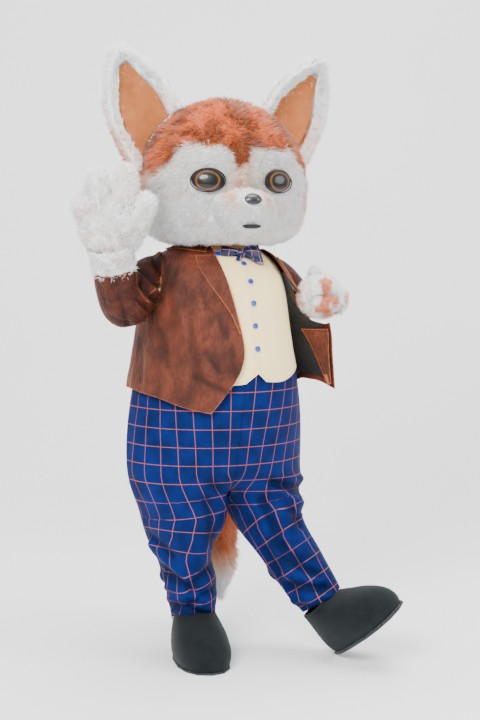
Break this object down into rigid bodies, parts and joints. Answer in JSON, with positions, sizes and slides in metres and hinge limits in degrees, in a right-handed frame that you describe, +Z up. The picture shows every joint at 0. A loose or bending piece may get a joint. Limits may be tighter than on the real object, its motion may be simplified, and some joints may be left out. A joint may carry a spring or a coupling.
{
  "type": "fox mascot costume",
  "caption": "Worn fox mascot costume: hollow plush head with ears, open velvet jacket, waistcoat, bow tie, check trousers, paws, tail and padded shoes.",
  "frame": {"origin": "the point between the shoulders that holds the worn costume up, 1330 mm above the ground", "axes": "+Z up, the chest faces -Y, the wearer's left is +X"},
  "size_m": [1.0304, 0.8799, 1.9992],
  "materials": {
    "orange_fur": "long plush fur, orange with brown patches",
    "white_fur": "long plush fur, white",
    "ear_plush": "short tan plush",
    "nose_vinyl": "satin black vinyl",
    "eye_plastic": "polished dark plastic",
    "mouth_felt": "black felt",
    "velvet": "brown velvet with a mottled nap",
    "lining": "black quilted lining",
    "waistcoat_cloth": "cream cloth",
    "button_plastic": "blue plastic",
    "bow_satin": "blue satin with thin peach lines",
    "trouser_cloth": "navy cloth with a thin peach check",
    "paw_plush": "plush fur, white and peach",
    "tail_plush": "long plush fur",
    "shoe_cloth": "matt charcoal padded cloth",
    "sole_rubber": "black rubber"
  },
  "bodies": {
    "root": {"bow_band": "bow_satin", "bow_knot": "bow_satin", "bow_tail": "bow_satin", "bow_wing_left": "bow_satin", "bow_wing_right": "bow_satin", "button_1": "button_plastic", "button_2": "button_plastic", "button_3": "button_plastic", "button_4": "button_plastic", "button_5": "button_plastic", "ear_back_left": "orange_fur", "ear_back_right": "orange_fur", "ear_inner_left": "ear_plush", "ear_inner_right": "ear_plush", "ear_trim_left": "white_fur", "ear_trim_right": "white_fur", "eye_left": "eye_plastic", "eye_right": "eye_plastic", "head_back": "orange_fur", "head_brow_left": "white_fur", "head_brow_right": "white_fur", "head_cheek_left": "white_fur", "head_cheek_right": "white_fur", "head_crown": "orange_fur", "head_muzzle": "white_fur", "jacket_back": "velvet", "jacket_collar": "velvet", "jacket_front_left": "velvet", "jacket_front_right": "velvet", "jacket_lapel_left": "velvet", "jacket_lapel_right": "velvet", "jacket_lining_left": "lining", "jacket_turned_edge_left": "velvet", "mouth": "mouth_felt", "nose": "nose_vinyl", "paw_back_left": "paw_plush", "paw_back_right": "paw_plush", "paw_palm_left": "paw_plush", "paw_palm_right": "paw_plush", "shirt_neck": "waistcoat_cloth", "shoe_sole_left": "sole_rubber", "shoe_sole_right": "sole_rubber", "shoe_upper_left": "shoe_cloth", "shoe_upper_right": "shoe_cloth", "sleeve_top_left": "velvet", "sleeve_top_right": "velvet", "sleeve_under_left": "velvet", "sleeve_under_right": "velvet", "tail_tip": "tail_plush", "tail_upper": "tail_plush", "trousers_back_left": "trouser_cloth", "trousers_back_right": "trouser_cloth", "trousers_front_left": "trouser_cloth", "trousers_front_right": "trouser_cloth", "waistcoat_back": "waistcoat_cloth", "waistcoat_front_left": "waistcoat_cloth", "waistcoat_front_right": "waistcoat_cloth"}
  },
  "joints": []
}
